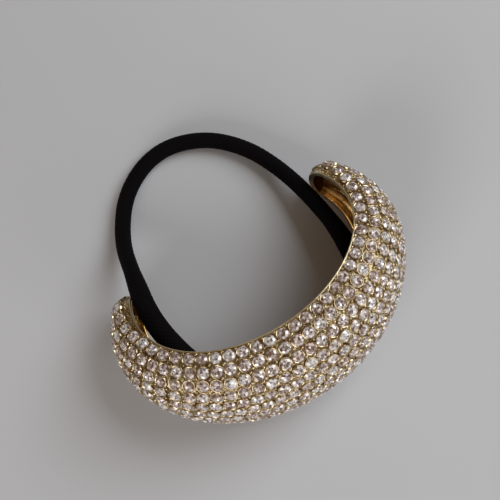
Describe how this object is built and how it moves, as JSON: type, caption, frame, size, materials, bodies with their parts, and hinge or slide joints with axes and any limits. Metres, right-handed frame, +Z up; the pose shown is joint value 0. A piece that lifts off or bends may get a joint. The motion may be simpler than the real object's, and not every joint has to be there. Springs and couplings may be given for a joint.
{
  "type": "ponytail cuff with elastic loop",
  "caption": "Domed gold cuff paved with round clear stones, with a black elastic loop through its hollow, worn round a ponytail.",
  "frame": {"origin": "on the table under the middle of the cuff's own box, as it lies on its lower edge; the elastic isn't counted", "axes": "+Z up from the table, -Y towards the dome's middle, +Y towards the elastic's free end, +X to the right seen from -Y"},
  "size_m": [0.0569, 0.0552, 0.0232],
  "materials": {
    "gold": "polished pale gold plating on a cast base",
    "crystal": "clear cut glass with foil behind it",
    "elastic": "matte black braided cover over rubber"
  },
  "bodies": {
    "root": {"shell": "gold", "stones": "crystal", "elastic": "elastic"}
  },
  "joints": []
}
